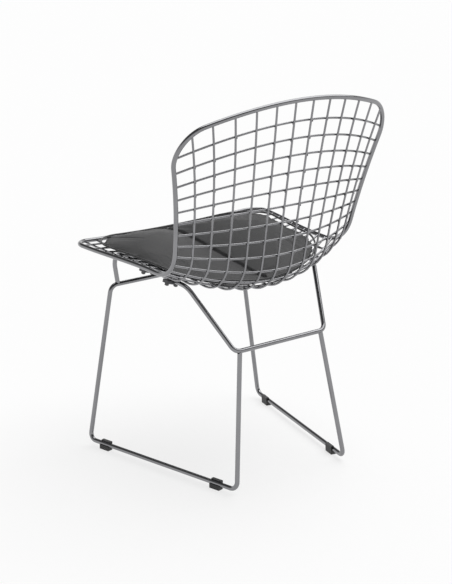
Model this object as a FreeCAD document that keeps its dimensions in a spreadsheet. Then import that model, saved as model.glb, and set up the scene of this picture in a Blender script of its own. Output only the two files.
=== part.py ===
"""Wire mesh side chair: a bent wire shell on a two-rod base, with a loose upholstered seat pad.

Millimetres. The chair stands on z = 0 and faces -Y. +X is the sitter's left.
The origin is on the floor, under the middle of the whole chair.
"""
import FreeCAD, Part
import Sketcher
import math
import os

Vector = FreeCAD.Vector
doc = FreeCAD.newDocument("WireChair")


# Driving dimensions: alias, value, what it is.
DIMENSIONS = [
    ("overall_height", 778, "floor to the top of the rim"),
    ("rim_diameter", 9, "rod round the seat and back"),
    ("wire_diameter", 4.2, "all the mesh wires"),
    ("rod_diameter", 9.5, "both rods of the base"),
    ("weld_gap", 0.1, "space left at a welded joint"),
    ("middle_front_reach", 244.9, "origin to the front rim, on the middle line"),
    ("middle_front_level", 422.2, "height of the front rim, on the middle line"),
    ("middle_bend_reach", 172.8, "origin to the corner of seat and back, on the middle line"),
    ("middle_bend_level", 372.2, "height of that corner"),
    ("middle_bend_radius", 84.2, "bend between seat and back, on the middle line"),
    ("middle_top_reach", 244.9, "origin to the top rim, on the middle line"),
    ("side_front_reach", 201.6, "origin to the front rim, at the side"),
    ("side_front_level", 442.1, "height of the front rim, at the side"),
    ("side_bend_reach", 117.3, "origin to the corner of seat and back, at the side"),
    ("side_bend_level", 431.3, "height of that corner"),
    ("side_bend_radius", 69.9, "bend between seat and back, at the side"),
    ("side_top_reach", 188.9, "origin to the top rim, at the side"),
    ("side_top_drop", 54.6, "how far the top rim falls towards its corners"),
    ("half_width_top", 265.5, "middle to the rim, at the top"),
    ("half_width_waist", 213.5, "middle to the rim, where the shell is narrowest"),
    ("half_width_front", 238.1, "middle to the rim, at the front"),
    ("waist_share", 0.587, "where the waist is along the side, 0 at the top and 1 at the front"),
    ("back_arc_fill", 0.094, "how far the back stands inside circular arcs from side to side"),
    ("seat_arc_fill", 0.179, "the same from the bend to the front, as a share of the arcs' depth"),
    ("top_corner_radius", 62, "rounded corner of the rim at the top"),
    ("front_corner_radius", 34, "rounded corner of the rim at the front"),
    ("cross_wire_count", 22, "wires from side to side"),
    ("cross_wire_top_gap", 42.2, "top rim to the first cross wire"),
    ("cross_wire_front_gap", 37.6, "front rim to the last cross wire"),
    ("side_spread_top", 1.29, "side pitch of the cross wires at the top, against its mean"),
    ("side_spread_front", 1.266, "side pitch of the cross wires at the front, against its mean"),
    ("long_wire_pitch", 34.2, "pitch of the wires that run from front to top, at the waist"),
    ("edge_wire_inset", 29.2, "outermost of them to the rim, at the waist"),
    ("foot_front_reach", 184.2, "origin to the front corner of the runner"),
    ("foot_front_half", 225.3, "middle to the front corner of the runner"),
    ("foot_rear_reach", 215.2, "origin to the rear corner of the runner"),
    ("foot_rear_half", 137.9, "middle to the rear corner of the runner"),
    ("runner_level", 11.5, "height of the runner's axis"),
    ("front_bar_reach", 173, "origin to the front crossbar"),
    ("front_bar_half", 170.1, "middle to the corner of the front crossbar"),
    ("front_bar_level", 344.2, "height of the front crossbar's axis"),
    ("rear_bar_reach", 177.7, "origin to the rear crossbar"),
    ("rear_bar_half", 112.7, "middle to the corner of the rear crossbar"),
    ("rear_bar_level", 282.6, "height of the rear crossbar's axis"),
    ("rear_leg_inset", 11, "corner of the rear crossbar to the top of the rear leg"),
    ("foot_bend_radius", 15, "bends of the leg rod at the floor"),
    ("bar_bend_radius", 18, "bends at the ends of the crossbars"),
    ("rail_bend_radius", 30, "bends at the ends of the rails"),
    ("strut_foot_inset", 16.8, "corner of the front crossbar to the foot of the strut"),
    ("rail_front_reach", 185, "origin to the front corner of the rail"),
    ("rail_front_half", 157.5, "middle to the front corner of the rail"),
    ("rail_rear_reach", 85, "origin to the rear corner of the rail"),
    ("rail_rear_half", 159, "middle to the rear corner of the rail"),
    ("rail_front_drop", 13, "shell to the rail's axis, at the front"),
    ("rail_rear_drop", 9.8, "shell to the rail's axis, at the rear"),
    ("glide_size", 25, "length of a glide along the runner"),
    ("glide_wall", 1.4, "glide beside the rod"),
    ("glide_outer_drop", 2, "rod's axis to the top of the glide's outer wall"),
    ("glide_inner_rise", 7, "rod's axis to the top of the glide's inner wall, which hooks over the rod"),
    ("glide_front_inset", 46, "front corner of the runner to the middle of its glide"),
    ("glide_rear_inset", 55, "rear corner of the runner to the middle of its glide"),
    ("fit_gap", 0.15, "space round a rod in a glide or a saddle"),
    ("clamp_width", 34, "clamp, across the rail"),
    ("clamp_run", 16, "clamp, along the rail"),
    ("clamp_plate_thickness", 3, "upper half of a clamp"),
    ("clamp_saddle_base", 3, "lower half of a clamp, under the rail"),
    ("clamp_saddle_rise", 3.5, "lower half of a clamp, up beside the rail"),
    ("clamp_bolt_spacing", 22, "between the two bolts of a clamp"),
    ("plate_gap", 0.4, "long wire to the plate of a clamp"),
    ("bolt_diameter", 5, "clamp bolts"),
    ("bolt_tail", 1.2, "bolt past its nut"),
    ("bolt_head_diameter", 9.5, "countersunk head of a clamp bolt"),
    ("bolt_clearance", 0.25, "space round a bolt in its hole"),
    ("nut_width", 8, "across the flats of a clamp nut"),
    ("nut_height", 4, "clamp nuts"),
    ("front_clamp_cell", 17.5, "mesh cell that holds the front clamp, in cross wires from the top"),
    ("rear_clamp_cell", 14.53, "mesh cell that holds the rear clamp"),
    ("pad_front_gap", 23.3, "front rim to the pad, on the middle line"),
    ("pad_run", 372, "pad from front to rear, along the seat"),
    ("pad_side_gap", 21, "rim's axis to the pad"),
    ("pad_front_corner", 83, "rounded front corners of the pad"),
    ("pad_rear_corner", 110, "rounded rear corners of the pad"),
    ("pad_lift", 0.6, "cross wires to the pad"),
    ("pad_band", 7, "height of the side band, under the piping"),
    ("pad_band_draw", 2.5, "how far the side band draws in at its foot"),
    ("pad_crown", 18, "rise of each half of the pad above the piping"),
    ("pad_valley", 7, "rise of the sewn middle line above the piping"),
    ("cover_thickness", 1.2, "leatherette, open underneath round the stiff panel"),
    ("foam_gap", 0.6, "space between the pad's inner layers"),
    ("base_thickness", 2, "stiff panel under the foam"),
    ("piping_diameter", 4, "welt round the pad"),
    ("piping_gap", 1.5, "pad to its welt"),
    ("pad_end_trim", 1.5, "how far the flat ends of the pad stop short of its outline"),
    ("pad_end_share", 0.99, "place of those ends in the swell of the crown, 1 at no swell"),
]

sheet = doc.addObject("Spreadsheet::Sheet", "Sizes")
for row, (alias, value, note) in enumerate(DIMENSIONS, start=1):
    sheet.set("A%d" % row, note)
    sheet.set("B%d" % row, str(value))
    sheet.setAlias("B%d" % row, alias)
doc.recompute()


def size(alias):
    """A driving dimension, read from the sheet."""
    return float(getattr(sheet, alias))


# Geometry of the shell: two flat profiles, one on the middle line and one at the side,
# joined by circular arcs from side to side.
class Profile:
    """Back line, bend and seat line in a plane of constant X, measured from the top rim."""

    def __init__(self, front, corner, top, radius):
        self.top = top
        self.radius = radius
        self.back_line = (top - corner).normalize()
        self.seat_line = (front - corner).normalize()
        half_angle = self.back_line.getAngle(self.seat_line) / 2
        setback = radius / math.tan(half_angle)
        self.turn = math.pi - 2 * half_angle
        self.back_run = (top - corner).Length - setback
        self.bend_run = radius * self.turn
        self.run = self.back_run + self.bend_run + (front - corner).Length - setback
        self.bend_start = corner + self.back_line * setback
        self.bend_end = corner + self.seat_line * setback
        inward = (self.back_line + self.seat_line).normalize()
        self.centre = corner + inward * (radius / math.sin(half_angle))
        self.axis = self.back_line.cross(self.seat_line).normalize()

    def at(self, distance):
        if distance <= self.back_run:
            return self.top - self.back_line * distance
        turned = (distance - self.back_run) / self.radius
        if turned >= self.turn:
            return self.bend_end + self.seat_line * (distance - self.back_run - self.bend_run)
        swing = FreeCAD.Rotation(self.axis, -math.degrees(turned))
        return self.centre + swing.multVec(self.bend_start - self.centre)


rim_radius = size("rim_diameter") / 2
top_level = size("overall_height") - rim_radius
middle = Profile(
    Vector(0, -size("middle_front_reach"), size("middle_front_level")),
    Vector(0, size("middle_bend_reach"), size("middle_bend_level")),
    Vector(0, size("middle_top_reach"), top_level),
    size("middle_bend_radius"))
side = Profile(
    Vector(0, -size("side_front_reach"), size("side_front_level")),
    Vector(0, size("side_bend_reach"), size("side_bend_level")),
    Vector(0, size("side_top_reach"), top_level - size("side_top_drop")),
    size("side_bend_radius"))


def side_distance(distance):
    """Place on the side profile that a cross wire reaches from a place on the middle one.

    The pitch at the side runs smoothly from its top value to its front value, and is
    closest at the waist, where the mean of the three makes the whole side.
    """
    share = distance / middle.run
    at_top = size("side_spread_top")
    at_front = size("side_spread_front")
    at_waist = (6 - at_top - at_front) / 4
    slope = 4 * at_waist - 3 * at_top - at_front
    curve = 2 * at_top - 4 * at_waist + 2 * at_front
    return side.run * share * (at_top + slope * share / 2 + curve * share ** 2 / 3)


def half_width(distance):
    share = side_distance(distance) / side.run
    waist_share = size("waist_share")
    waist = size("half_width_waist")
    if share < waist_share:
        rise = (waist_share - share) / waist_share
        return waist + (size("half_width_top") - waist) * rise ** 2
    rise = (share - waist_share) / (1 - waist_share)
    return waist + (size("half_width_front") - waist) * rise ** 2 * (3 - 2 * rise)


BEND_BEGINS = 0.15
BEND_ENDS = 0.5


def arc_fill(distance):
    """Share of the depth by which the shell stands inside a circular arc from side to side."""
    share = (distance / middle.run - BEND_BEGINS) / (BEND_ENDS - BEND_BEGINS)
    share = min(max(share, 0), 1)
    back = size("back_arc_fill")
    return back + (size("seat_arc_fill") - back) * share ** 2 * (3 - 2 * share)


def shell_point(across, distance):
    """Point of the shell: across runs from -1 to 1, distance from the top rim."""
    start = middle.at(distance)
    rise = side.at(side_distance(distance)) - start
    depth = rise.Length
    width = half_width(distance)
    offset = across * width
    radius = (width ** 2 + depth ** 2) / (2 * depth)
    arc = radius - math.sqrt(radius ** 2 - offset ** 2)
    fill = arc_fill(distance) * depth * across ** 2 * (1 - across ** 2)
    return start + rise.normalize() * (arc + fill) + Vector(offset, 0, 0)


PROBE = 0.05


def shell_normal(across, distance):
    """Unit normal of the shell, towards the sitter."""
    width = half_width(distance)
    sideways = (shell_point(across + PROBE / width, distance)
                - shell_point(across - PROBE / width, distance))
    forward = shell_point(across, distance + PROBE) - shell_point(across, distance - PROBE)
    return forward.cross(sideways).normalize()


def lifted_point(across, distance, lift):
    return shell_point(across, distance) + shell_normal(across, distance) * lift


def corner_inset(remaining, radius):
    """How far a rounded corner draws in, at a distance from its flat end."""
    if remaining >= radius:
        return 0.0
    return radius - math.sqrt(radius ** 2 - (radius - remaining) ** 2)


def rim_across(distance):
    """Where the rim runs, as a share of the half width."""
    inset = max(corner_inset(distance, size("top_corner_radius")),
                corner_inset(middle.run - distance, size("front_corner_radius")))
    return 1 - inset / half_width(distance)


# Paths: straight lines and tangent arcs only.
STRAIGHT = 0.0005


def middle_of_arc(start, direction, end):
    """Middle of the arc that leaves start along direction, or None where it is straight."""
    chord = end - start
    along = FreeCAD.Vector(chord).normalize()
    bulge = direction - along * direction.dot(along)
    sagitta = chord.Length / 2 * math.tan(direction.getAngle(along) / 2)
    if sagitta < STRAIGHT:
        return None
    return start + chord / 2 + bulge.normalize() * sagitta


def piece(start, through, end):
    if through is None:
        return Part.LineSegment(start, end).toShape()
    return Part.Arc(start, through, end).toShape()


def two_arcs(start, start_direction, end, end_direction):
    """The two tangent arcs that join two points and their directions."""
    chord = end - start
    both = chord.dot(start_direction + end_direction)
    spread = 2 * (1 - start_direction.dot(end_direction))
    square = chord.dot(chord)
    reach = square / (both + math.sqrt(both ** 2 + spread * square))
    joint = (start + end + (start_direction - end_direction) * reach) / 2
    return [piece(start, middle_of_arc(start, start_direction, joint), joint),
            piece(joint, middle_of_arc(end, end_direction * -1, joint), end)]


def course(place, stops):
    """Points of a curve at its stops, each with the direction of the curve there."""
    probe = (stops[-1] - stops[0]) / 10000
    found = []
    for stop in stops:
        ahead = (place(stop + probe) - place(stop - probe)).normalize()
        found.append((place(stop), ahead))
    return found


def smooth_wire(found):
    edges = []
    for (start, start_direction), (end, end_direction) in zip(found, found[1:]):
        edges.extend(two_arcs(start, start_direction, end, end_direction))
    return Part.Wire(edges)


def bent_wire(corners, radii):
    """Straight runs between corners, with a bend of a given radius at each inner one."""
    edges = []
    start = corners[0]
    for previous, corner, following, radius in zip(corners, corners[1:], corners[2:], radii):
        back = (previous - corner).normalize()
        ahead = (following - corner).normalize()
        half_angle = back.getAngle(ahead) / 2
        setback = radius / math.tan(half_angle)
        inward = (back + ahead).normalize()
        through = corner + inward * (radius / math.sin(half_angle) - radius)
        edges.append(Part.LineSegment(start, corner + back * setback).toShape())
        edges.append(Part.Arc(corner + back * setback, through, corner + ahead * setback).toShape())
        start = corner + ahead * setback
    edges.append(Part.LineSegment(start, corners[-1]).toShape())
    return Part.Wire(edges)


def steps(first, last, count):
    return [first + (last - first) * number / count for number in range(count + 1)]


# Document helpers.
parts = {}


def keep(node, item):
    """Name a finished sub-part."""
    item.Label = node
    parts[node] = item
    return item


def rod(name, wire, radius_formula):
    """A round rod swept along a wire."""
    path = doc.addObject("Part::Feature", name + "_path")
    path.Shape = wire
    section = doc.addObject("Part::Circle", name + "_section")
    section.setExpression("Radius", radius_formula)
    first = wire.OrderedEdges[0]
    begin = wire.OrderedVertexes[0].Point
    direction = first.tangentAt(first.FirstParameter)
    if (first.valueAt(first.FirstParameter) - begin).Length > STRAIGHT:
        direction = first.tangentAt(first.LastParameter) * -1
    section.Placement = FreeCAD.Placement(begin, FreeCAD.Rotation(Vector(0, 0, 1), direction))
    sweep = doc.addObject("Part::Sweep", name)
    sweep.Sections = [section]
    sweep.Spine = (path, ["Edge%d" % (number + 1) for number in range(len(wire.Edges))])
    sweep.Solid = True
    return sweep


def mirrored(name, item):
    twin = doc.addObject("Part::Mirroring", name)
    twin.Source = item
    twin.Normal = Vector(1, 0, 0)
    return twin


def both_sides(name, half):
    """A half that starts or ends on the middle plane, joined to its mirror image."""
    whole = doc.addObject("Part::MultiFuse", name)
    whole.Shapes = [half, mirrored(name + "_right_half", half)]
    whole.Refine = False
    return whole


def cut(name, base, tool):
    result = doc.addObject("Part::Cut", name)
    result.Base = base
    result.Tool = tool
    return result


def ring_course(first, last, side_gap, first_radius, last_radius, lift, end_parts, side_parts):
    """Half of a ring with rounded corners on the shell, from its middle at one end to its
    middle at the other. The corners are round in the surface of the shell."""
    def at(inset, distance):
        return lifted_point(1 - (side_gap + inset) / half_width(distance), distance, lift)

    def first_end(across):
        return lifted_point(across, first, lift)

    def first_corner(turn):
        return at(first_radius * (1 - math.sin(turn)), first + first_radius * (1 - math.cos(turn)))

    def side_run(distance):
        return at(0, distance)

    def last_corner(turn):
        return at(last_radius * (1 - math.cos(turn)), last - last_radius * (1 - math.sin(turn)))

    def last_end(across):
        return lifted_point(across, last, lift)

    quarter = math.pi / 2
    first_flat = 1 - (side_gap + first_radius) / half_width(first)
    last_flat = 1 - (side_gap + last_radius) / half_width(last)
    found = course(first_end, steps(0, first_flat, end_parts))
    found += course(first_corner, steps(0, quarter, end_parts))[1:]
    found += course(side_run, steps(first + first_radius, last - last_radius, side_parts))[1:]
    found += course(last_corner, steps(0, quarter, end_parts))[1:]
    found += course(last_end, steps(last_flat, 0, end_parts))[1:]
    return found


# Rim: one bent rod round the whole basket.
rim_path = smooth_wire(ring_course(0, middle.run, 0, size("top_corner_radius"),
                                   size("front_corner_radius"), 0, 4, 16))
rim = keep("rim", both_sides("rim", rod("rim_left_half", rim_path, "Sizes.rim_diameter / 2")))


def clearance(name, point, direction, radius_formula, length):
    """A short cylinder along a rod, larger than the rod by the weld gap."""
    tool = doc.addObject("Part::Cylinder", name)
    tool.setExpression("Radius", radius_formula)
    tool.Height = length
    turn = FreeCAD.Rotation(Vector(0, 0, 1), direction)
    tool.Placement = FreeCAD.Placement(point - FreeCAD.Vector(direction) * (length / 2), turn)
    return tool


RIM_END_RUN = 16


def rim_end(name, contact):
    """Clears the rim where a wire meets it; on the right it is done as the mirror image."""
    left = Vector(abs(contact.x), contact.y, contact.z)
    nearest = min(rim_path.Edges, key=lambda edge: edge.distToShape(Part.Vertex(left))[0])
    place = nearest.Curve.parameter(left)
    point = nearest.valueAt(place)
    direction = nearest.tangentAt(place)
    if contact.x < 0:
        point.x = -point.x
        direction.x = -direction.x
    return clearance(name, point, direction, "Sizes.rim_diameter / 2 + Sizes.weld_gap", RIM_END_RUN)


def wire_between_rims(name, path, first, last):
    """A mesh wire, cut back at both of its ends to the rod of the rim."""
    ends = doc.addObject("Part::Compound", name + "_ends")
    ends.Links = [rim_end(name + "_first_end", first), rim_end(name + "_last_end", last)]
    return cut(name, rod(name + "_rod", path, "Sizes.wire_diameter / 2"), ends)


# Mesh: cross wires lie inside the shell, long wires outside it, and both stop at the rim.
layer_lift = (size("wire_diameter") + size("weld_gap")) / 2
cross_count = int(size("cross_wire_count"))
cross_places = steps(size("cross_wire_top_gap"),
                     middle.run - size("cross_wire_front_gap"), cross_count - 1)


def cross_wire(name, distance):
    reach = rim_across(distance)
    path = smooth_wire(course(lambda across: lifted_point(across, distance, layer_lift),
                              steps(-reach, reach, 4)))
    contact = reach - rim_radius / half_width(distance)
    return wire_between_rims(name, path,
                             shell_point(-contact, distance), shell_point(contact, distance))


for number, place in enumerate(cross_places, start=1):
    name = "cross_wire_%02d" % number
    keep(name, cross_wire(name, place))


def rim_crossing(across, outside, inside):
    """Distance from the top at which the rounded rim crosses a long wire's line."""
    for _ in range(40):
        halfway = (outside + inside) / 2
        if rim_across(halfway) < across:
            outside = halfway
        else:
            inside = halfway
    return inside


def long_wire(name, across):
    first = rim_crossing(across, 0, middle.run / 2)
    last = rim_crossing(across, middle.run, middle.run / 2)
    path = smooth_wire(course(lambda distance: lifted_point(across, distance, -layer_lift),
                              [first] + cross_places + [last]))
    return wire_between_rims(name, path, shell_point(across, first + rim_radius),
                             shell_point(across, last - rim_radius))


waist_pitch = size("long_wire_pitch") / size("half_width_waist")
long_places = [(number - 0.5) * waist_pitch for number in range(1, 6)]
long_places.append(1 - size("edge_wire_inset") / size("half_width_waist"))
for number, place in enumerate(long_places, start=1):
    left = keep("long_wire_left_%d" % number, long_wire("long_wire_left_%d" % number, place))
    keep("long_wire_right_%d" % number, mirrored("long_wire_right_%d" % number, left))


# Base: two bent rods. The leg rod makes the front crossbar, the front legs, the runners on the
# floor and the rear legs. The support rod makes the struts, the rails under the seat and the
# rear crossbar.
def over_shell(x, y, lift):
    """Point above (or, with a negative lift, below) the seat, with a given X and Y."""
    across = x / half_width(middle.run)
    distance = middle.run - (y + size("middle_front_reach"))
    for _ in range(30):
        point = lifted_point(across, distance, lift)
        across += (x - point.x) / half_width(distance)
        distance += point.y - y
    return point


front_bar_middle = Vector(0, -size("front_bar_reach"), size("front_bar_level"))
front_bar_corner = front_bar_middle + Vector(size("front_bar_half"), 0, 0)
front_foot = Vector(size("foot_front_half"), -size("foot_front_reach"), size("runner_level"))
rear_foot = Vector(size("foot_rear_half"), size("foot_rear_reach"), size("runner_level"))
rear_bar_middle = Vector(0, size("rear_bar_reach"), size("rear_bar_level"))
rear_bar_corner = rear_bar_middle + Vector(size("rear_bar_half"), 0, 0)
rear_leg_top = rear_bar_corner - Vector(size("rear_leg_inset"), 0, 0)
strut_foot = front_bar_corner - Vector(size("strut_foot_inset"), 0, 0)
rail_front = over_shell(size("rail_front_half"), -size("rail_front_reach"), -size("rail_front_drop"))
rail_rear = over_shell(size("rail_rear_half"), size("rail_rear_reach"), -size("rail_rear_drop"))

foot_bend = size("foot_bend_radius")
bar_bend = size("bar_bend_radius")
rail_bend = size("rail_bend_radius")
leg_path = bent_wire([front_bar_middle, front_bar_corner, front_foot, rear_foot, rear_leg_top],
                     [bar_bend, foot_bend, foot_bend])
support_path = bent_wire([strut_foot, rail_front, rail_rear, rear_bar_corner, rear_bar_middle],
                         [rail_bend, rail_bend, bar_bend])
ROD_RADIUS = "Sizes.rod_diameter / 2"
across_line = Vector(1, 0, 0)
leg_half = cut("leg_rod_half", rod("leg_rod_bar", leg_path, ROD_RADIUS),
               clearance("rear_bar_clearance", rear_leg_top, across_line,
                         ROD_RADIUS + " + Sizes.weld_gap", 4 * size("rod_diameter")))
support_half = cut("support_rod_half", rod("support_rod_bar", support_path, ROD_RADIUS),
                   clearance("front_bar_clearance", strut_foot, across_line,
                             ROD_RADIUS + " + Sizes.weld_gap", 4 * size("rod_diameter")))
keep("leg_rod", both_sides("leg_rod", leg_half))
keep("support_rod", both_sides("support_rod", support_half))


# Glides: a block under each end of a runner, with a round groove that the rod snaps into. The
# outer wall is low and the inner one hooks over the rod.
def add_stepped_outline(sketch):
    """A block with a low outer side and a high inner one, which meet over the middle.

    Its width is constraint 13, its outer height 14 and its inner height 15.
    """
    corners = [Vector(-7, 0, 0), Vector(7, 0, 0), Vector(7, 11, 0),
               Vector(0, 11, 0), Vector(0, 20, 0), Vector(-7, 20, 0)]
    for start, end in zip(corners, corners[1:] + corners[:1]):
        sketch.addGeometry(Part.LineSegment(start, end))
    for line in range(6):
        sketch.addConstraint(Sketcher.Constraint("Coincident", line, 2, (line + 1) % 6, 1))
    for line, way in enumerate(("Horizontal", "Vertical", "Horizontal", "Vertical", "Horizontal")):
        sketch.addConstraint(Sketcher.Constraint(way, line))
    sketch.addConstraint(Sketcher.Constraint("Symmetric", 0, 1, 0, 2, -1, 1))
    sketch.addConstraint(Sketcher.Constraint("PointOnObject", 3, 1, -2))
    sketch.addConstraint(Sketcher.Constraint("DistanceX", 0, 1, 0, 2, 14))
    sketch.addConstraint(Sketcher.Constraint("DistanceY", 1, 1, 1, 2, 11))
    sketch.addConstraint(Sketcher.Constraint("DistanceY", 5, 2, 5, 1, 20))


def attached_sketch(body, name):
    sketch = body.newObject("Sketcher::SketchObject", name)
    plane = next(item for item in body.Origin.OriginFeatures if item.Role == "XZ_Plane")
    sketch.AttachmentSupport = (plane, [""])
    sketch.MapMode = "FlatFace"
    return sketch


def glide(name):
    """A glide in its own frame: the runner's axis along Y, outside the chair +X, the floor Z = 0."""
    body = doc.addObject("PartDesign::Body", name)
    outline = attached_sketch(body, name + "_outline")
    add_stepped_outline(outline)
    outline.setExpression("Constraints[13]", "Sizes.rod_diameter + 2 * Sizes.glide_wall")
    outline.setExpression("Constraints[14]", "Sizes.runner_level - Sizes.glide_outer_drop")
    outline.setExpression("Constraints[15]", "Sizes.runner_level + Sizes.glide_inner_rise")
    block = body.newObject("PartDesign::Pad", name + "_block")
    block.Profile = outline
    block.SideType = "Symmetric"
    block.setExpression("Length", "Sizes.glide_size")
    groove = attached_sketch(body, name + "_groove_outline")
    groove.addGeometry(Part.Circle(Vector(0, 14, 0), Vector(0, 0, 1), 5))
    groove.addConstraint(Sketcher.Constraint("PointOnObject", 0, 3, -2))
    groove.addConstraint(Sketcher.Constraint("DistanceY", -1, 1, 0, 3, 14))
    groove.addConstraint(Sketcher.Constraint("Radius", 0, 5))
    groove.setExpression("Constraints[1]", "Sizes.runner_level")
    groove.setExpression("Constraints[2]", "Sizes.rod_diameter / 2 + Sizes.fit_gap")
    channel = body.newObject("PartDesign::Pocket", name + "_groove")
    channel.Profile = groove
    channel.SideType = "Symmetric"
    channel.Type = "ThroughAll"
    body.Tip = channel
    return body


def placement_of(origin, y_axis, z_axis):
    """Frame with its Y along a rod and its Z as near as can be to a given direction."""
    return FreeCAD.Placement(origin, FreeCAD.Rotation(Vector(0, 0, 0), y_axis, z_axis, "YZX"))


runner = (rear_foot - front_foot).normalize()
for end, foot, inset in (("front", front_foot, size("glide_front_inset")),
                         ("rear", rear_foot, -size("glide_rear_inset"))):
    for hand, sign in (("left", 1), ("right", -1)):
        axis_point = foot + runner * inset
        item = keep("glide_%s_%s" % (end, hand), glide("glide_%s_%s" % (end, hand)))
        item.Placement = placement_of(Vector(sign * axis_point.x, axis_point.y, 0),
                                      Vector(runner.x, sign * runner.y, 0), Vector(0, 0, 1))


# Clamps: a plate on the long wire over each rail and a saddle under the rail, drawn together
# by two countersunk bolts. Each clamp has its own frame: Z out of the shell, Y along the rail,
# and the rail's axis at Z = 0.
rail_line = (rail_rear - rail_front).normalize()


def rail_place(cell):
    """Point of the rail's axis under a mesh cell, the shell's normal there and the gap to it."""
    distance = cross_places[0] + (cell - 1) * (cross_places[1] - cross_places[0])
    point = (rail_front + rail_rear) / 2
    for _ in range(20):
        above = shell_point(point.x / half_width(distance), distance)
        point = point + rail_line * (above.y - point.y)
    normal = shell_normal(point.x / half_width(distance), distance)
    return point, normal, (above - point).dot(normal)


def box(name, width, run, bottom, height):
    item = doc.addObject("Part::Box", name)
    item.Length = width
    item.Width = run
    item.Height = height
    item.Placement.Base = Vector(-width / 2, -run / 2, bottom)
    return item


def cylinder(name, radius, x, bottom, height):
    item = doc.addObject("Part::Cylinder", name)
    item.Radius = radius
    item.Height = height
    item.Placement.Base = Vector(x, 0, bottom)
    return item


def countersink(name, head_radius, shank_radius, x, top):
    """A cone of 45 degrees, wide at the top."""
    item = doc.addObject("Part::Cone", name)
    item.Radius1 = shank_radius
    item.Radius2 = head_radius
    item.Height = head_radius - shank_radius
    item.Placement.Base = Vector(x, 0, top - (head_radius - shank_radius))
    return item


def group(name, items):
    whole = doc.addObject("Part::Compound", name)
    whole.Links = items
    return whole


clamp_width = size("clamp_width")
clamp_run = size("clamp_run")
plate_thickness = size("clamp_plate_thickness")
bolt_radius = size("bolt_diameter") / 2
hole_radius = bolt_radius + size("bolt_clearance")
head_radius = size("bolt_head_diameter") / 2
saddle_bottom = -(size("rod_diameter") / 2 + size("clamp_saddle_base"))
bolt_sides = (-size("clamp_bolt_spacing") / 2, size("clamp_bolt_spacing") / 2)


def clamp_plate(name, bottom):
    blank = box(name + "_blank", clamp_width, clamp_run, bottom, plate_thickness)
    holes = []
    for number, x in enumerate(bolt_sides):
        holes.append(cylinder(name + "_hole_%d" % number, hole_radius, x, bottom, plate_thickness))
        holes.append(countersink(name + "_sink_%d" % number, head_radius + size("bolt_clearance"),
                                 hole_radius, x, bottom + plate_thickness))
    return cut(name, blank, group(name + "_cuts", holes))


def clamp_saddle(name):
    rise = size("clamp_saddle_base") + size("clamp_saddle_rise")
    blank = box(name + "_blank", clamp_width, clamp_run, saddle_bottom, rise)
    groove = doc.addObject("Part::Cylinder", name + "_groove")
    groove.setExpression("Radius", "Sizes.rod_diameter / 2 + Sizes.fit_gap")
    groove.Height = clamp_run * 2
    groove.Placement = FreeCAD.Placement(Vector(0, clamp_run, 0),
                                         FreeCAD.Rotation(Vector(1, 0, 0), 90))
    holes = [cylinder(name + "_hole_%d" % number, hole_radius, x, saddle_bottom, rise)
             for number, x in enumerate(bolt_sides)]
    return cut(name, blank, group(name + "_cuts", [groove] + holes))


def clamp_bolt(name, x, top):
    bottom = saddle_bottom - size("nut_height") - size("bolt_tail")
    shank = cylinder(name + "_shank", bolt_radius, x, bottom, top - bottom)
    head = countersink(name + "_head", head_radius, bolt_radius, x, top)
    bolt = doc.addObject("Part::Fuse", name)
    bolt.Base = shank
    bolt.Tool = head
    return bolt


def clamp_nut(name, x):
    hexagon = doc.addObject("Part::Prism", name + "_hexagon")
    hexagon.Polygon = 6
    hexagon.setExpression("Circumradius", "Sizes.nut_width / sqrt(3)")
    hexagon.setExpression("Height", "Sizes.nut_height")
    under = saddle_bottom - size("nut_height") - size("weld_gap")
    hexagon.Placement.Base = Vector(x, 0, under)
    bore = cylinder(name + "_bore", bolt_radius + size("weld_gap"), x, under, size("nut_height"))
    return cut(name, hexagon, bore)


def placed(item, placement):
    item.Placement = placement.multiply(item.Placement)
    return item


bolts = []
nuts = []
for end, cell in (("front", size("front_clamp_cell")), ("rear", size("rear_clamp_cell"))):
    point, normal, drop = rail_place(cell)
    plate_bottom = drop - size("weld_gap") / 2 + size("plate_gap")
    for hand, sign in (("left", 1), ("right", -1)):
        name = "clamp_%s_%s" % (end, hand)
        frame = placement_of(Vector(sign * point.x, point.y, point.z),
                             Vector(sign * rail_line.x, rail_line.y, rail_line.z),
                             Vector(sign * normal.x, normal.y, normal.z))
        keep(name + "_plate", placed(clamp_plate(name + "_plate", plate_bottom), frame))
        keep(name + "_saddle", placed(clamp_saddle(name + "_saddle"), frame))
        for number, x in enumerate(bolt_sides):
            bolt = clamp_bolt("%s_bolt_%d" % (name, number), x, plate_bottom + plate_thickness)
            bolts.append(placed(bolt, frame))
            nuts.append(placed(clamp_nut("%s_nut_%d" % (name, number), x), frame))
keep("clamp_bolts", group("clamp_bolts", bolts))
keep("clamp_nuts", group("clamp_nuts", nuts))


# Pad: lofts through sections across the seat, from front to rear. Its outline is rounded in
# the surface of the shell; each half swells up from the piping to a crown and comes down to
# the sewn line in the middle.
pad_front = middle.run - size("pad_front_gap")
pad_rear = pad_front - size("pad_run")
under_pad = layer_lift + size("wire_diameter") / 2 + size("pad_lift")
seam_lift = under_pad + size("pad_band")


def pad_ring(outward, lift, end_parts):
    """The outline of the pad, or a ring that much further out."""
    return ring_course(pad_rear - outward, pad_front + outward, size("pad_side_gap") - outward,
                       size("pad_rear_corner") + outward, size("pad_front_corner") + outward,
                       lift, end_parts, end_parts)


outline = [point for point, direction in pad_ring(0, seam_lift, 24)]
outline_rear = outline[0].y
outline_front = outline[-1].y


def seam_half(y):
    """Half width of the seam in a plane of constant Y."""
    for start, end in zip(outline, outline[1:]):
        if end.y <= y <= start.y:
            return start.x + (end.x - start.x) * (start.y - y) / (start.y - end.y)
    return 0.0


def over_line(y, half, lift):
    """Path across the seat at a constant height over the shell, from right to left."""
    return smooth_wire(course(lambda x: over_shell(x, y, lift), steps(-half, half, 4))).Edges


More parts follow.
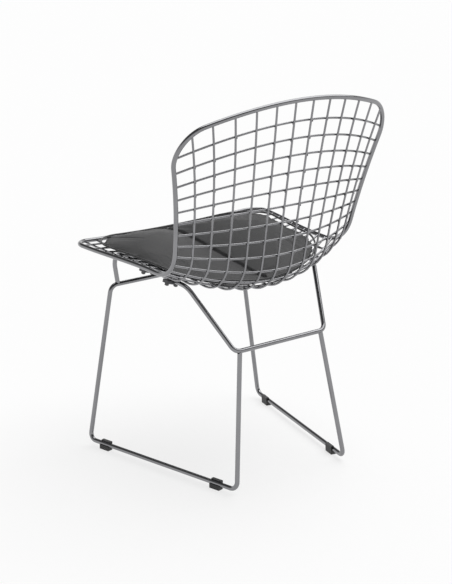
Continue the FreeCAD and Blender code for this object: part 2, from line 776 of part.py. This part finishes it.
def crowned_line(y, half, seam, crown, valley):
    """Path back across the top of the pad: two arcs that meet at the sewn line."""
    lifts = (seam, crown, valley, crown, seam)
    points = [over_shell(share * half, y, lift) for share, lift in zip(steps(1, -1, 4), lifts)]
    return [Part.Arc(*points[0:3]).toShape(), Part.Arc(*points[2:5]).toShape()]


def section_wire(y, half, draw, bottom, top, top_edges):
    """Closed section: the bottom, a side band, the top and the other side band."""
    low = [over_shell(side * (half - draw), y, bottom) for side in (1, -1)]
    high = [over_shell(side * half, y, top) for side in (1, -1)]
    return Part.Wire(over_line(y, half - draw, bottom)
                     + [Part.LineSegment(low[0], high[0]).toShape()] + top_edges
                     + [Part.LineSegment(high[1], low[1]).toShape()])


pad_middle = (outline_front + outline_rear) / 2
pad_half_run = (outline_rear - outline_front) / 2 - size("pad_end_trim")
pad_stations = [-1, -0.975, -0.93, -0.86, -0.75, -0.6, -0.4, -0.15,
                0.15, 0.4, 0.6, 0.75, 0.86, 0.93, 0.975, 1]


def pad_places(inset):
    """Y, half width and swell of the crown at each station, an inset inside the pad's skin."""
    found = []
    for station in pad_stations:
        half = seam_half(pad_middle + station * pad_half_run) - inset
        swell = math.sqrt(1 - (station * size("pad_end_share")) ** 4)
        found.append((pad_middle + station * (pad_half_run - inset), half, swell))
    return found


def loft(name, wires):
    sections = []
    for number, wire in enumerate(wires):
        section = doc.addObject("Part::Feature", "%s_section_%d" % (name, number))
        section.Shape = wire
        sections.append(section)
    whole = doc.addObject("Part::Loft", name)
    whole.Sections = sections
    whole.Solid = True
    return whole


def crowned_loft(name, inset, bottom):
    """A solid with the crowned form of the pad, an inset inside its skin."""
    wires = []
    seam = seam_lift - inset
    for y, half, swell in pad_places(inset):
        top_edges = crowned_line(y, half, seam, seam + size("pad_crown") * swell,
                                 seam + size("pad_valley") * swell)
        wires.append(section_wire(y, half, size("pad_band_draw"), bottom, seam, top_edges))
    return loft(name, wires)


def panel_loft(name, inset, bottom, top):
    """A thin panel that follows the shell, an inset inside the pad's skin."""
    wires = []
    for y, half, swell in pad_places(inset):
        top_edges = [edge.reversed() for edge in reversed(over_line(y, half, top))]
        wires.append(section_wire(y, half, 0, bottom, top, top_edges))
    return loft(name, wires)


cover = size("cover_thickness")
inside = cover + size("foam_gap")
base_top = under_pad + size("base_thickness")
skin = crowned_loft("pad_skin", 0, under_pad)
hollow = crowned_loft("pad_hollow", cover, under_pad - cover)
keep("pad_cover", cut("pad_cover", skin, hollow))
keep("pad_foam", crowned_loft("pad_foam", inside, base_top + size("foam_gap")))
keep("pad_base", panel_loft("pad_base", inside + size("pad_band_draw"), under_pad, base_top))
welt_path = smooth_wire(pad_ring(size("piping_diameter") / 2 + size("piping_gap"), seam_lift, 4))
keep("pad_piping", both_sides("pad_piping", rod("pad_piping_half", welt_path,
                                                "Sizes.piping_diameter / 2")))


# Every sub-part is checked before any is written.
doc.recompute()
for item in doc.Objects:
    if "Invalid" in item.State or "Error" in item.State:
        raise RuntimeError("%s did not rebuild: %s" % (item.Label, item.State))
for node, item in parts.items():
    if item.Shape.isNull() or not item.Shape.isValid() or not item.Shape.Solids:
        raise RuntimeError("%s has no valid solid" % node)

os.makedirs("parts", exist_ok=True)
for node, item in parts.items():
    item.Shape.exportStep("parts/%s.step" % node)
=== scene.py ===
"""Looks of the wire mesh side chair: chrome rods with their welds, black glides and a padded seat."""
import math

import bmesh
import bpy
import numpy as np
from bpy.props import FloatProperty, FloatVectorProperty, PointerProperty
from mathutils import Matrix, Vector
from mathutils.bvhtree import BVHTree
from mathutils.kdtree import KDTree


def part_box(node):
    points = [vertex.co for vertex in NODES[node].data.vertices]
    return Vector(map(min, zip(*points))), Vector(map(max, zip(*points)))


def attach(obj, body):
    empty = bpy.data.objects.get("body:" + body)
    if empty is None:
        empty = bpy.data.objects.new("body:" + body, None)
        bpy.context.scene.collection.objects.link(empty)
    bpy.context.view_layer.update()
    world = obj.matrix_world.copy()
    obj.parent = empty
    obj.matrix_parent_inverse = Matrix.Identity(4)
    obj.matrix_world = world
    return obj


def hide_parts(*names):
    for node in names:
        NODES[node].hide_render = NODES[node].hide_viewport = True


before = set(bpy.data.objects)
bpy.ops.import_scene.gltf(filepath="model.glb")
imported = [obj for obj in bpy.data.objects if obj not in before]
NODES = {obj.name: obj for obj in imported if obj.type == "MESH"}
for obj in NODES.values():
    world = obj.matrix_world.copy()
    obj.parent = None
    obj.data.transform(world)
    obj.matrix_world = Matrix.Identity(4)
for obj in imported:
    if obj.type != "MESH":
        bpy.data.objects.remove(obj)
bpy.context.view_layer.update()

bl_info = {
    "name": "Wire mesh side chair",
    "version": (1, 0, 0),
    "blender": (4, 5, 0),
    "location": "View3D > Sidebar > Wire chair",
    "description": "Finishes, welds and the padded seat of a wire mesh side chair",
    "category": "Object",
}

MESH_WIRES = sorted(name for name in NODES if name.startswith(("cross_wire_", "long_wire_")))
RODS = ("leg_rod", "support_rod")
GLIDES = sorted(name for name in NODES if name.startswith("glide_"))
CLAMP_PIECES = sorted(name for name in NODES if name.endswith(("_plate", "_saddle")))
FASTENERS = ("clamp_bolts", "clamp_nuts")
PAD_NODES = ("pad_cover", "pad_foam", "pad_base")

WIRE_RADIUS = 0.0021


# Shader graphs.
# Sockets of a Mix node that mixes colours.
COLOUR_FACTOR = 0
COLOUR_A = 6
COLOUR_B = 7
COLOUR_RESULT = 2


class Wire:
    """A value in a shader graph: arithmetic on it adds Math nodes."""

    def __init__(self, graph, socket):
        self.graph = graph
        self.socket = socket

    def _math(self, operation, first, second):
        return self.graph.node("ShaderNodeMath", {"operation": operation}, {0: first, 1: second})

    def __add__(self, other):
        return self._math("ADD", self, other)

    def __radd__(self, other):
        return self._math("ADD", other, self)

    def __sub__(self, other):
        return self._math("SUBTRACT", self, other)

    def __rsub__(self, other):
        return self._math("SUBTRACT", other, self)

    def __mul__(self, other):
        return self._math("MULTIPLY", self, other)

    def __rmul__(self, other):
        return self._math("MULTIPLY", other, self)


class Graph:
    """The node tree of one material or world, with a material's Principled shader."""

    def __init__(self, owner):
        owner.use_nodes = True
        self.owner = owner
        self.tree = owner.node_tree
        self.shader = self.tree.nodes.get("Principled BSDF")

    def node(self, kind, settings=None, inputs=None, output=0):
        """Adds a node: its settings first, then the values or links of its sockets."""
        made = self.tree.nodes.new(kind)
        for key, value in (settings or {}).items():
            if key == "stops":
                self._set_stops(made.color_ramp, value)
            else:
                setattr(made, key, value)
        for key, value in (inputs or {}).items():
            self.feed(made.inputs[key], value)
        return Wire(self, made.outputs[output])

    def _set_stops(self, ramp, stops):
        while len(ramp.elements) < len(stops):
            ramp.elements.new(1.0)
        for element, (position, level) in zip(ramp.elements, stops):
            element.position = position
            element.color = (level, level, level, 1.0)

    def feed(self, socket, value):
        if isinstance(value, Wire):
            self.tree.links.new(value.socket, socket)
        else:
            socket.default_value = value

    def set(self, **values):
        """Sets or links sockets of the Principled shader, named with _ for a space."""
        for key, value in values.items():
            self.feed(self.shader.inputs[key.replace("_", " ")], value)

    def place(self):
        return self.node("ShaderNodeTexCoord", output="Object")

    def noise(self, scale, detail=3.0, roughness=0.5, place=None):
        return self.node("ShaderNodeTexNoise", {}, {
            "Vector": place or self.place(), "Scale": scale, "Detail": detail,
            "Roughness": roughness})

    def ramp(self, value, stops):
        return self.node("ShaderNodeValToRGB", {"stops": stops}, {"Fac": value})

    def mix(self, factor, first, second):
        return self.node("ShaderNodeMix", {"data_type": "RGBA"},
                         {COLOUR_FACTOR: factor, COLOUR_A: first, COLOUR_B: second},
                         output=COLOUR_RESULT)

    def bump(self, height, strength, distance):
        return self.node("ShaderNodeBump", {}, {
            "Height": height, "Strength": strength, "Distance": distance})


def rgba(colour, factor=1.0):
    return (colour[0] * factor, colour[1] * factor, colour[2] * factor, 1.0)


def chrome_finish(name, colour, roughness):
    """Polished plating: faint waviness, a patchy haze and fine dull specks."""
    graph = Graph(bpy.data.materials.new(name))
    haze = graph.ramp(graph.noise(9.0, 4.0, 0.6), [(0.35, 0.0), (0.75, 1.0)])
    specks = graph.ramp(graph.noise(420.0, 2.0, 0.7), [(0.62, 0.0), (0.72, 1.0)])
    ripple = graph.noise(60.0, 2.0)
    graph.set(
        Base_Color=graph.mix(haze, rgba(colour), rgba(colour, 0.86)),
        Roughness=haze * 0.07 + specks * 0.06 + roughness,
        Metallic=1.0,
        Normal=graph.bump(ripple, 0.08, 0.0004))
    return graph.owner


def weld_finish(name, colour):
    """Plated weld metal: duller than the wire and finely lumpy."""
    graph = Graph(bpy.data.materials.new(name))
    lumps = graph.noise(900.0, 3.0, 0.6)
    graph.set(
        Base_Color=graph.mix(lumps, rgba(colour, 0.75), rgba(colour)),
        Roughness=lumps * 0.15 + 0.2,
        Metallic=1.0,
        Normal=graph.bump(lumps, 0.5, 0.0004))
    return graph.owner


def zinc_finish(name, colour):
    """Blackened zinc plating: a fine spangle with a drawn grain."""
    graph = Graph(bpy.data.materials.new(name))
    spangle = graph.noise(180.0, 3.0, 0.6)
    grain = graph.noise(1500.0, 2.0)
    graph.set(
        Base_Color=graph.mix(spangle, rgba(colour, 0.8), rgba(colour)),
        Roughness=spangle * 0.2 + 0.28,
        Metallic=1.0,
        Normal=graph.bump(grain, 0.25, 0.0002))
    return graph.owner


def plastic_finish(name, colour):
    """Moulded plastic: a fine spark-eroded texture, scuffed paler near the floor."""
    graph = Graph(bpy.data.materials.new(name))
    texture = graph.noise(1800.0, 2.0)
    scuff = graph.ramp(graph.noise(130.0, 4.0, 0.65), [(0.56, 0.0), (0.74, 1.0)])
    level = graph.node("ShaderNodeSeparateXYZ", {}, {"Vector": graph.place()}, output="Z")
    near_floor = graph.node("ShaderNodeMapRange", {}, {
        "Value": level, "From Min": 0.0, "From Max": 0.008, "To Min": 1.0, "To Max": 0.0})
    worn = scuff * near_floor
    graph.set(
        Base_Color=graph.mix(worn, rgba(colour), (0.11, 0.11, 0.11, 1.0)),
        Roughness=texture * 0.15 + worn * 0.2 + 0.42,
        Normal=graph.bump(texture, 0.3, 0.0002))
    return graph.owner


def leather_finish(name, colour, roughness, specular):
    """Grained leatherette: pebbles split by creases, with a satin top coat."""
    graph = Graph(bpy.data.materials.new(name))
    place = graph.place()
    pebble = graph.node("ShaderNodeTexVoronoi", {"feature": "DISTANCE_TO_EDGE"}, {
        "Vector": place, "Scale": 620.0, "Randomness": 0.9}, output="Distance")
    crease = graph.ramp(pebble, [(0.0, 0.0), (0.16, 1.0)])
    fine = graph.noise(1400.0, 3.0, 0.6, place)
    broad = graph.noise(14.0, 3.0, 0.55, place)
    height = crease * 0.7 + fine * 0.3
    graph.set(
        Base_Color=graph.mix(broad, rgba(colour, 0.85), rgba(colour, 1.2)),
        Roughness=broad * 0.08 + (1 - crease) * 0.1 + roughness,
        Specular_IOR_Level=specular,
        Normal=graph.bump(height, 0.35, 0.0003))
    return graph.owner


def thread_finish(name, colour):
    """Twisted sewing thread."""
    graph = Graph(bpy.data.materials.new(name))
    twist = graph.node("ShaderNodeTexWave", {"wave_type": "BANDS", "bands_direction": "DIAGONAL"}, {
        "Vector": graph.place(), "Scale": 900.0, "Distortion": 1.5}, output="Fac")
    graph.set(
        Base_Color=graph.mix(twist, rgba(colour, 0.6), rgba(colour, 1.3)),
        Roughness=0.55,
        Normal=graph.bump(twist, 0.5, 0.0002))
    return graph.owner


def give(obj, material):
    """Puts one material on every face of an object."""
    if obj.material_slots:
        for slot in obj.material_slots:
            slot.material = material
    else:
        obj.data.materials.append(material)


# Mesh helpers.
def points_of(obj):
    flat = np.empty(len(obj.data.vertices) * 3)
    obj.data.vertices.foreach_get("co", flat)
    return flat.reshape(-1, 3)


def axis_points(name, radius):
    """Points on the axis of a round rod: each vertex of its skin, moved in by the radius."""
    mesh = NODES[name].data
    normals = np.empty(len(mesh.loops) * 3)
    mesh.loops.foreach_get("normal", normals)
    corners = np.empty(len(mesh.loops), dtype=int)
    mesh.loops.foreach_get("vertex_index", corners)
    found = points_of(NODES[name])[corners] - normals.reshape(-1, 3) * radius
    return np.unique(np.round(found, 5), axis=0)


def new_piece(name, mesh, material):
    obj = bpy.data.objects.new(name, mesh)
    bpy.context.scene.collection.objects.link(obj)
    give(obj, material)
    for polygon in mesh.polygons:
        polygon.use_smooth = True
    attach(obj, "root")
    return obj


def tree_of(points):
    tree = KDTree(len(points))
    for index, point in enumerate(points):
        tree.insert(point, index)
    tree.balance()
    return tree


# Welds.
BEAD_SEGMENTS = 10
BEAD_RINGS = 6
# Half sizes of a bead along the long wire, along the cross wire and through both.
BEAD_HALF_SIZES = (0.0026, 0.0026, 0.0013)
# Two wires cross where their axes come this near, found in two steps.
NEAR_ENOUGH = 0.02
TOUCHING = 2.6 * WIRE_RADIUS
CLOSING_STEPS = 6
AXIS_REACH = 0.006
AXIS_NEIGHBOURS = 8


def add_bead(target, centre, along, across, normal, half_sizes):
    """A rounded bead of weld metal, with its own half sizes on three axes."""
    frame_of = Matrix((along, across, normal)).transposed().to_4x4()
    scale = Matrix.Diagonal((*half_sizes, 1.0))
    bmesh.ops.create_uvsphere(target, u_segments=BEAD_SEGMENTS, v_segments=BEAD_RINGS, radius=1.0,
                              matrix=Matrix.Translation(centre) @ frame_of @ scale)


def direction_at(points, tree, place):
    """Direction of a rod's axis near a place, from its axis points round about."""
    near = [Vector(points[index]) for _, index, _ in tree.find_range(place, AXIS_REACH)]
    if len(near) < 2:
        near = [Vector(points[index]) for _, index, _ in tree.find_n(place, AXIS_NEIGHBOURS)]
    spread = np.array(near) - np.mean(np.array(near), axis=0)
    return Vector(np.linalg.svd(spread)[2][0]).normalized()


class MESH_OT_chair_welds(bpy.types.Operator):
    """Weld beads where the wires of the mesh cross"""
    bl_idname = "mesh.chair_welds"
    bl_label = "Welds"

    def execute(self, context):
        settings = context.scene.chair_chrome
        material = weld_finish("weld_metal", settings.colour)
        lines = {name: axis_points(name, WIRE_RADIUS) for name in MESH_WIRES}
        trees = {name: tree_of(points) for name, points in lines.items()}
        crossings = bmesh.new()
        count = 0
        for cross in [name for name in MESH_WIRES if name.startswith("cross_wire_")]:
            for long in [name for name in MESH_WIRES if name.startswith("long_wire_")]:
                if self.add_crossing(crossings, lines, trees, cross, long):
                    count += 1
        if count < len(MESH_WIRES):
            raise RuntimeError("only %d wire crossings were found" % count)
        mesh = bpy.data.meshes.new("wire_welds")
        crossings.to_mesh(mesh)
        crossings.free()
        new_piece("wire_welds", mesh, material)
        return {"FINISHED"}

    def add_crossing(self, target, lines, trees, cross, long):
        points = lines[cross]
        gaps = [trees[long].find(point)[2] for point in points]
        if min(gaps) > NEAR_ENOUGH:
            return False
        place = points[int(np.argmin(gaps))]
        for _ in range(CLOSING_STEPS):
            on_long = closest_on_axis(lines[long], trees[long], Vector(place))
            place = closest_on_axis(lines[cross], trees[cross], on_long)
        if (Vector(place) - on_long).length > TOUCHING:
            return False
        centre = (Vector(place) + on_long) / 2
        along = direction_at(lines[long], trees[long], on_long)
        across = direction_at(lines[cross], trees[cross], Vector(place))
        normal = along.cross(across).normalized()
        across = normal.cross(along)
        add_bead(target, centre, along, across, normal, BEAD_HALF_SIZES)
        return True


def closest_on_axis(points, tree, place):
    """Nearest point of the line through the axis points round a place."""
    nearest = Vector(tree.find(place)[0])
    direction = direction_at(points, tree, nearest)
    return nearest + direction * (place - nearest).dot(direction)


class MESH_OT_chair_metal(bpy.types.Operator):
    """Chrome on the rim, the mesh and the base, and blackened zinc on the clamps"""
    bl_idname = "mesh.chair_metal"
    bl_label = "Metal finishes"

    def execute(self, context):
        settings = context.scene.chair_chrome
        give(NODES["rim"], chrome_finish("rim_plating", settings.colour, settings.roughness))
        mesh_plating = chrome_finish("mesh_plating", settings.colour, settings.roughness + 0.03)
        for name in MESH_WIRES:
            give(NODES[name], mesh_plating)
        base_plating = chrome_finish("base_plating", settings.colour, settings.roughness)
        for name in RODS:
            give(NODES[name], base_plating)
        zinc = zinc_finish("clamp_zinc", (0.1, 0.1, 0.105))
        for name in CLAMP_PIECES:
            give(NODES[name], zinc)
        bolt_zinc = zinc_finish("bolt_zinc", (0.12, 0.12, 0.12))
        for name in FASTENERS:
            give(NODES[name], bolt_zinc)
        return {"FINISHED"}


class MESH_OT_chair_glides(bpy.types.Operator):
    """Black moulded plastic on the glides"""
    bl_idname = "mesh.chair_glides"
    bl_label = "Glides"

    def execute(self, context):
        plastic = plastic_finish("glide_moulding", (0.018, 0.018, 0.019))
        for name in GLIDES:
            give(NODES[name], plastic)
        return {"FINISHED"}


# Pad.
VOXEL = 0.004
CLOTH_FRAMES = 20
JOIN_DISTANCE = 0.00002
# The foam lies this far inside the cover's outer skin.
FOAM_INSET = 0.0018
STITCH_PITCH = 0.005
STITCH_LENGTH = 0.0034
STITCH_RADIUS = 0.0004
STITCH_ROW = 0.0045
CLOTH_PRESSURE = 4.0
# Upward part of a normal: below the first the cloth is held, above the second the sewn
# line pulls it in, and above the third it carries stitches.
HELD_BELOW = 0.1
SEAM_ABOVE = 0.2
STITCH_ABOVE = 0.5
PAD_SPECULAR = 0.3
WELT_SPECULAR = 0.5


def welded_copy(node, name):
    """A node's shape as a new object, its faces joined into one closed skin."""
    merged = bmesh.new()
    merged.from_mesh(NODES[node].data)
    bmesh.ops.remove_doubles(merged, verts=merged.verts, dist=JOIN_DISTANCE)
    mesh = bpy.data.meshes.new(name)
    merged.to_mesh(mesh)
    merged.free()
    obj = bpy.data.objects.new(name, mesh)
    bpy.context.scene.collection.objects.link(obj)
    return obj


def normals_of(obj):
    flat = np.empty(len(obj.data.vertices) * 3)
    obj.data.vertices.foreach_get("normal", flat)
    return flat.reshape(-1, 3)


def move_points(obj, points):
    obj.data.vertices.foreach_set("co", points.ravel())
    obj.data.update()


def apply_modifiers(obj):
    """Replaces an object's mesh by its shape with the modifiers on it."""
    evaluated = obj.evaluated_get(bpy.context.evaluated_depsgraph_get())
    mesh = bpy.data.meshes.new_from_object(evaluated)
    obj.modifiers.clear()
    obj.data = mesh


def smoothed_step(share):
    share = np.clip(share, 0.0, 1.0)
    return share * share * (3.0 - 2.0 * share)


class MESH_OT_chair_pad(bpy.types.Operator):
    """The padded seat, swelled as cloth over its foam, with the welt round it"""
    bl_idname = "mesh.chair_pad"
    bl_label = "Seat pad"

    def execute(self, context):
        settings = context.scene.chair_pad
        leather = leather_finish("pad_leatherette", settings.colour, settings.roughness,
                                 PAD_SPECULAR)
        # The welt gets a paler colour than the pad: a painted highlight along the piping.
        welt_leather = leather_finish("welt_leatherette_painted_highlight", settings.welt_painted_highlight_colour,
                                      settings.roughness, WELT_SPECULAR)
        pad = welded_copy("pad_foam", "pad")
        remesh = pad.modifiers.new("remesh", "REMESH")
        remesh.mode = "VOXEL"
        remesh.voxel_size = VOXEL
        apply_modifiers(pad)
        move_points(pad, points_of(pad) + normals_of(pad) * (FOAM_INSET - settings.swell_room))
        self.swell(context, pad, settings)
        subdivision = pad.modifiers.new("subdivision", "SUBSURF")
        subdivision.levels = 1
        subdivision.render_levels = 1
        apply_modifiers(pad)
        self.press_seam(pad, settings)
        self.add_stitches(pad)
        for polygon in pad.data.polygons:
            polygon.use_smooth = True
        give(pad, leather)
        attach(pad, "root")
        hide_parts(*PAD_NODES)
        give(NODES["pad_piping"], welt_leather)
        return {"FINISHED"}

    def swell(self, context, pad, settings):
        """Pressure from within, with the underside held and every point's travel capped."""
        rest = points_of(pad)
        held = pad.vertex_groups.new(name="held")
        low = [int(index) for index in np.nonzero(normals_of(pad)[:, 2] < HELD_BELOW)[0]]
        held.add(low, 1.0, "REPLACE")
        cloth = pad.modifiers.new("cloth", "CLOTH")
        cloth.settings.use_pressure = True
        cloth.settings.uniform_pressure_force = CLOTH_PRESSURE
        cloth.settings.effector_weights.gravity = 0.0
        cloth.settings.vertex_group_mass = "held"
        cloth.point_cache.frame_start = 1
        cloth.point_cache.frame_end = CLOTH_FRAMES
        scene = context.scene
        for number in range(1, CLOTH_FRAMES + 1):
            scene.frame_set(number)
        apply_modifiers(pad)
        scene.frame_set(1)
        travel = points_of(pad) - rest
        length = np.linalg.norm(travel, axis=1)
        share = np.minimum(1.0, settings.swell_cap / np.maximum(length, 1e-9))
        move_points(pad, rest + travel * share[:, None])

    def press_seam(self, pad, settings):
        """The sewn line down the middle, pulled into the foam."""
        points = points_of(pad)
        upward = normals_of(pad)[:, 2] > SEAM_ABOVE
        pull = 1.0 - smoothed_step(np.abs(points[:, 0]) / settings.seam_width)
        points[:, 2] -= np.where(upward, pull * settings.seam_depth, 0.0)
        move_points(pad, points)

    def add_stitches(self, pad):
        """A row of stitches on each side of the sewn line, lying on the leatherette."""
        skin = BVHTree.FromObject(pad, bpy.context.evaluated_depsgraph_get())
        lowest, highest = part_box("pad_foam")
        rows = bmesh.new()
        for side in (-1, 1):
            place = lowest.y + STITCH_ROW
            while place < highest.y - STITCH_ROW:
                start = self.on_skin(skin, side * STITCH_ROW, place, highest.z)
                end = self.on_skin(skin, side * STITCH_ROW, place + STITCH_LENGTH, highest.z)
                if start and end:
                    self.add_stitch(rows, start, end)
                place += STITCH_PITCH
        mesh = bpy.data.meshes.new("pad_stitches")
        rows.to_mesh(mesh)
        rows.free()
        new_piece("pad_stitches", mesh, thread_finish("pad_thread", (0.02, 0.02, 0.02)))

    def on_skin(self, skin, x, y, top):
        """Point of the pad's upper skin under a place, or None where it turns down."""
        above = Vector((x, y, top + 0.05))
        found, normal, _, _ = skin.ray_cast(above, Vector((0.0, 0.0, -1.0)))
        if found is None or normal.z < STITCH_ABOVE:
            return None
        return found

    def add_stitch(self, rows, start, end):
        along = (end - start).normalized()
        across = Vector((1.0, 0.0, 0.0))
        normal = across.cross(along).normalized()
        add_bead(rows, (start + end) / 2, along, across, normal,
                 (STITCH_LENGTH / 2, STITCH_RADIUS, STITCH_RADIUS))


# Stage.
FLOOR_HALF = 40.0
WHITE = (1.0, 1.0, 1.0, 1.0)


class SCENE_OT_chair_stage(bpy.types.Operator):
    """Pale floor, soft studio light and the camera"""
    bl_idname = "scene.chair_stage"
    bl_label = "Stage"

    def execute(self, context):
        settings = context.scene.chair_stage
        self.add_floor(settings)
        self.add_world(context.scene, settings)
        self.add_sun(settings)
        self.add_camera(context.scene, settings)
        context.scene.view_settings.view_transform = "Standard"
        return {"FINISHED"}

    def add_floor(self, settings):
        """A pale floor that reads white where no shadow falls on it."""
        mesh = bpy.data.meshes.new("floor")
        corners = [(-FLOOR_HALF, -FLOOR_HALF, 0), (FLOOR_HALF, -FLOOR_HALF, 0),
                   (FLOOR_HALF, FLOOR_HALF, 0), (-FLOOR_HALF, FLOOR_HALF, 0)]
        mesh.from_pydata(corners, [], [(0, 1, 2, 3)])
        floor = bpy.data.objects.new("floor", mesh)
        bpy.context.scene.collection.objects.link(floor)
        graph = Graph(bpy.data.materials.new("floor_paper"))
        shade = settings.floor_shade
        graph.set(Base_Color=(shade, shade, shade, 1.0), Roughness=0.9)
        graph.set(Specular_IOR_Level=0.0)
        white = graph.node("ShaderNodeEmission", {}, {"Color": WHITE, "Strength": 1.0})
        rays = (graph.node("ShaderNodeLightPath", output="Is Camera Ray")
                + graph.node("ShaderNodeLightPath", output="Is Glossy Ray")
                + graph.node("ShaderNodeLightPath", output="Is Transmission Ray"))
        paper = Wire(graph, graph.shader.outputs[0])
        shown = graph.node("ShaderNodeMixShader", {}, {
            0: rays * settings.floor_glow, 1: paper, 2: white})
        graph.feed(graph.tree.nodes["Material Output"].inputs["Surface"], shown)
        give(floor, graph.owner)

    def add_world(self, scene, settings):
        """White at the horizon and darker overhead, like a studio with a low light wall."""
        scene.world = bpy.data.worlds.new("studio")
        graph = Graph(scene.world)
        direction = graph.node("ShaderNodeTexCoord", output="Generated")
        height = graph.node("ShaderNodeSeparateXYZ", {}, {"Vector": direction}, output="Z")
        sky = graph.ramp(height, [(settings.wall_top, settings.horizon),
                                  (settings.dark_from, settings.zenith)])
        graph.feed(graph.tree.nodes["Background"].inputs["Color"], sky)

    def add_sun(self, settings):
        """One broad soft light, from high on the sitter's right."""
        data = bpy.data.lights.new("key_light", "SUN")
        data.energy = settings.key_power
        data.angle = settings.key_spread
        lamp = bpy.data.objects.new("key_light", data)
        lamp.rotation_euler = Vector((0.5, 0.1, -1.0)).to_track_quat("-Z", "Y").to_euler()
        bpy.context.scene.collection.objects.link(lamp)

    def add_camera(self, scene, settings):
        azimuth, elevation, roll = settings.azimuth, settings.elevation, settings.roll
        back = Vector((math.sin(azimuth) * math.cos(elevation),
                       -math.cos(azimuth) * math.cos(elevation), math.sin(elevation)))
        right = Vector((math.cos(azimuth), math.sin(azimuth), 0.0))
        up = back.cross(right)
        turned_right = right * math.cos(roll) + up * math.sin(roll)
        turned_up = up * math.cos(roll) - right * math.sin(roll)
        data = bpy.data.cameras.new("camera")
        data.sensor_width = 36.0
        data.lens = settings.lens
        camera = bpy.data.objects.new("camera", data)
        rotation = Matrix((turned_right, turned_up, back)).transposed().to_4x4()
        target = Vector(settings.target)
        camera.matrix_world = Matrix.Translation(target + back * settings.distance) @ rotation
        scene.collection.objects.link(camera)
        scene.camera = camera


class ChairChrome(bpy.types.PropertyGroup):
    colour: FloatVectorProperty(name="Colour", description="Colour of the plating",
                                subtype="COLOR", default=(0.27, 0.27, 0.28), min=0.0, max=1.0)
    roughness: FloatProperty(name="Roughness", description="How blurred its reflections are",
                             default=0.09, min=0.0, max=1.0, subtype="FACTOR")


class ChairPad(bpy.types.PropertyGroup):
    colour: FloatVectorProperty(name="Colour", description="Colour of the leatherette",
                                subtype="COLOR", default=(0.010, 0.010, 0.011), min=0.0, max=1.0)
    roughness: FloatProperty(name="Roughness", description="Satin of the leatherette",
                             default=0.36, min=0.0, max=1.0, subtype="FACTOR")
    # Paler than the pad's colour: a painted highlight standing for the light along the piping.
    welt_painted_highlight_colour: FloatVectorProperty(name="Welt colour", description="Colour of the welt, rubbed paler",
                                     subtype="COLOR", default=(0.035, 0.035, 0.037),
                                     min=0.0, max=1.0)
    swell_room: FloatProperty(name="Swell room", description="How much smaller the pad starts",
                              default=0.0012, min=0.0, max=0.01, unit="LENGTH")
    swell_cap: FloatProperty(name="Swell", description="Furthest that the cloth may swell",
                             default=0.004, min=0.0, max=0.03, unit="LENGTH")
    seam_depth: FloatProperty(name="Seam depth", description="How far the sewn line draws in",
                              default=0.003, min=0.0, max=0.02, unit="LENGTH")
    seam_width: FloatProperty(name="Seam width", description="Half width of the sewn channel",
                              default=0.008, min=0.001, max=0.05, unit="LENGTH")


class ChairStage(bpy.types.PropertyGroup):
    key_power: FloatProperty(name="Key light", description="Strength of the main light",
                             default=2.7, min=0.0)
    key_spread: FloatProperty(name="Key spread", description="Width of the main light",
                              default=math.radians(75.0), subtype="ANGLE")
    horizon: FloatProperty(name="Horizon", description="Brightness of the room at eye level",
                           default=1.0, min=0.0)
    zenith: FloatProperty(name="Zenith", description="Brightness of the room overhead",
                          default=0.14, min=0.0)
    wall_top: FloatProperty(name="Wall top", description="Height up to which the room is bright",
                            default=0.1, min=0.0, max=1.0)
    dark_from: FloatProperty(name="Dark from", description="Height from which it is dark",
                             default=0.5, min=0.0, max=1.0)
    floor_shade: FloatProperty(name="Floor", description="Grey level of the floor",
                               default=0.95, min=0.0, max=1.0)
    floor_glow: FloatProperty(name="Floor white", description="Share of plain white in the floor",
                              default=0.72, min=0.0, max=1.0)
    azimuth: FloatProperty(name="Azimuth", description="Camera's turn round the chair",
                           default=math.radians(143.2482), subtype="ANGLE")
    elevation: FloatProperty(name="Elevation", description="Camera's angle above the horizon",
                             default=math.radians(17.2663), subtype="ANGLE")
    roll: FloatProperty(name="Roll", description="Camera's tilt about its own line of sight",
                        default=math.radians(-0.2961), subtype="ANGLE")
    distance: FloatProperty(name="Distance", description="Camera to the point it looks at",
                            default=3.1851, unit="LENGTH")
    lens: FloatProperty(name="Lens", description="Focal length in millimetres", default=96.223)
    target: FloatVectorProperty(name="Target", description="Point that the camera looks at",
                                default=(0.0131, 0.0152, 0.3460), subtype="XYZ", unit="LENGTH")


class VIEW3D_PT_chair(bpy.types.Panel):
    """Lists the steps that dress the chair"""
    bl_label = "Wire chair"
    bl_idname = "VIEW3D_PT_chair"
    bl_space_type = "VIEW_3D"
    bl_region_type = "UI"
    bl_category = "Wire chair"

    def draw(self, context):
        for group in (context.scene.chair_chrome, context.scene.chair_pad,
                      context.scene.chair_stage):
            for name in group.__annotations__:
                self.layout.prop(group, name)
        for operator in OPERATORS:
            self.layout.operator(operator.bl_idname)


OPERATORS = (MESH_OT_chair_metal, MESH_OT_chair_welds, MESH_OT_chair_glides, MESH_OT_chair_pad,
             SCENE_OT_chair_stage)
GROUPS = (("chair_chrome", ChairChrome), ("chair_pad", ChairPad), ("chair_stage", ChairStage))


def register():
    for name, group in GROUPS:
        bpy.utils.register_class(group)
        setattr(bpy.types.Scene, name, PointerProperty(type=group))
    for operator in OPERATORS:
        bpy.utils.register_class(operator)
    bpy.utils.register_class(VIEW3D_PT_chair)


def unregister():
    bpy.utils.unregister_class(VIEW3D_PT_chair)
    for operator in reversed(OPERATORS):
        bpy.utils.unregister_class(operator)
    for name, group in reversed(GROUPS):
        delattr(bpy.types.Scene, name)
        bpy.utils.unregister_class(group)


def main():
    register()
    bpy.ops.mesh.chair_metal()
    bpy.ops.mesh.chair_welds()
    bpy.ops.mesh.chair_glides()
    bpy.ops.mesh.chair_pad()
    bpy.ops.scene.chair_stage()


if __name__ == "__main__":
    main()
